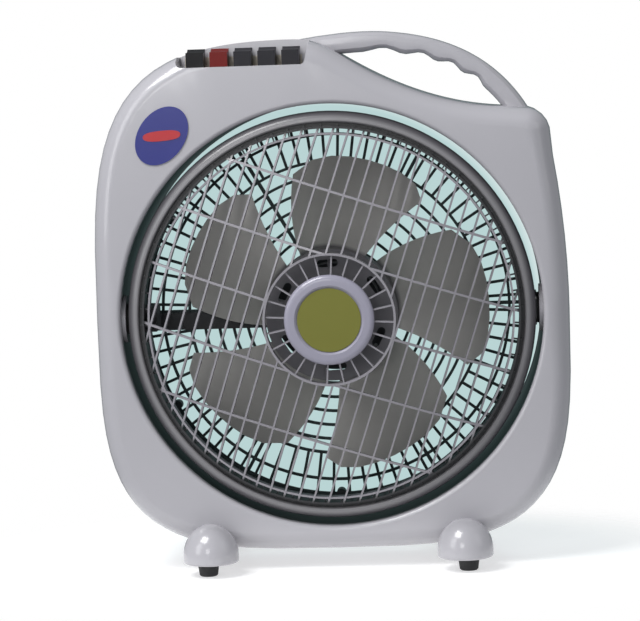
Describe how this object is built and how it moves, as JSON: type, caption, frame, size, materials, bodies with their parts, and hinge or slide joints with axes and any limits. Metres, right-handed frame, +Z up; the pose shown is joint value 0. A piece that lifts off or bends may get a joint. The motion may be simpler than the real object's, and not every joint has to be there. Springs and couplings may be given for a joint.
{
  "type": "box fan",
  "caption": "Table box fan: rounded plastic body with a carrying handle, a head that tilts in a round tunnel, a bladed rotor behind a turning louvre grille, push buttons and rubber feet.",
  "frame": {"origin": "on the floor under the middle of the fan, at the bottom centre of its box", "axes": "-Y is the way the air blows, out of the front; +X is to the right seen from the front; +Z is up"},
  "size_m": [0.4304, 0.2001, 0.4863],
  "materials": {
    "shell_plastic": "gloss",
    "dark_gloss": "gloss",
    "badge_blue": "gloss",
    "badge_red": "gloss",
    "bezel_tan": "satin",
    "dark_plastic": "matte",
    "steel": "brushed",
    "button_black": "satin",
    "button_red": "satin",
    "button_grey": "satin",
    "pivot_grey": "satin",
    "rubber": "matte",
    "lead_grey": "satin",
    "ring_grey": "satin",
    "guard_dark": "satin",
    "motor_grey": "satin",
    "core_steel": "raw",
    "copper": "varnished",
    "bronze": "raw",
    "blade_grey": "satin",
    "louvre_grey": "satin",
    "cap_light": "gloss",
    "cap_olive": "satin"
  },
  "bodies": {
    "body": {"front_shell": "shell_plastic", "rear_shell": "shell_plastic", "tunnel_ring": "dark_gloss", "badge_plate": "badge_blue", "badge_band": "badge_red", "button_bezel": "bezel_tan", "switch_body": "dark_plastic", "button_springs": "steel", "left_pivot_bracket": "pivot_grey", "right_pivot_bracket": "pivot_grey", "left_pivot_pin": "steel", "right_pivot_pin": "steel", "left_friction_washer": "rubber", "right_friction_washer": "rubber", "left_foot": "shell_plastic", "right_foot": "shell_plastic", "front_left_pad": "rubber", "front_right_pad": "rubber", "rear_left_pad": "rubber", "rear_right_pad": "rubber", "foot_screws": "steel", "shell_screws": "steel", "capacitor": "dark_plastic", "cord_bush": "rubber", "body_lead": "lead_grey"},
    "button_louvre": {"button_louvre": "button_black"},
    "button_stop": {"button_stop": "button_red"},
    "button_low": {"button_low": "button_grey"},
    "button_medium": {"button_medium": "button_grey"},
    "button_high": {"button_high": "button_grey"},
    "head": {"head_housing": "dark_gloss", "head_front_ring": "ring_grey", "louvre_clips": "ring_grey", "rear_guard": "guard_dark", "guard_screws": "steel", "cable_arm": "dark_plastic", "motor_front_cover": "motor_grey", "motor_rear_cover": "motor_grey", "motor_screws": "steel", "stator_core": "core_steel", "stator_windings": "copper", "front_bearing": "bronze", "rear_bearing": "bronze", "motor_cap": "dark_plastic", "louvre_motor": "dark_plastic"},
    "rotor": {"fan_blade": "blade_grey", "blade_nut": "dark_plastic", "rotor_core": "core_steel", "motor_shaft": "steel"},
    "louvre": {"louvre_disc": "louvre_grey", "louvre_cap": "cap_light", "cap_disc": "cap_olive"},
    "roller": {"drive_roller": "rubber"}
  },
  "joints": [
    {"name": "button_louvre_press", "type": "slide", "parent": "body", "child": "button_louvre", "axis": [0, 0, -1], "range_m": [0, 0.004], "stiffness_N_per_m": 400, "springref_m": -0.002},
    {"name": "button_stop_press", "type": "slide", "parent": "body", "child": "button_stop", "axis": [0, 0, -1], "range_m": [0, 0.004], "stiffness_N_per_m": 400, "springref_m": -0.002},
    {"name": "button_low_press", "type": "slide", "parent": "body", "child": "button_low", "axis": [0, 0, -1], "range_m": [0, 0.004], "stiffness_N_per_m": 400, "springref_m": -0.002},
    {"name": "button_medium_press", "type": "slide", "parent": "body", "child": "button_medium", "axis": [0, 0, -1], "range_m": [0, 0.004], "stiffness_N_per_m": 400, "springref_m": -0.002},
    {"name": "button_high_press", "type": "slide", "parent": "body", "child": "button_high", "axis": [0, 0, -1], "range_m": [0, 0.004], "stiffness_N_per_m": 400, "springref_m": -0.002},
    {"name": "head_tilt", "type": "hinge", "parent": "body", "child": "head", "pos_m": [0, -0.028, 0.2313], "axis": [1, 0, 0], "range_deg": [-30, 30]},
    {"name": "fan_spin", "type": "hinge", "parent": "head", "child": "rotor", "pos_m": [0, 0, 0.2313], "axis": [0, 1, 0], "continuous": true},
    {"name": "louvre_spin", "type": "hinge", "parent": "head", "child": "louvre", "pos_m": [0, 0, 0.2313], "axis": [0, 1, 0], "continuous": true},
    {"name": "roller_spin", "type": "hinge", "parent": "head", "child": "roller", "pos_m": [-0.1638, 0, 0.2313], "axis": [0, 1, 0], "continuous": true}
  ],
  "couplings": [
    {"joint": "roller_spin", "follows": "louvre_spin", "ratio": 33.82}
  ]
}
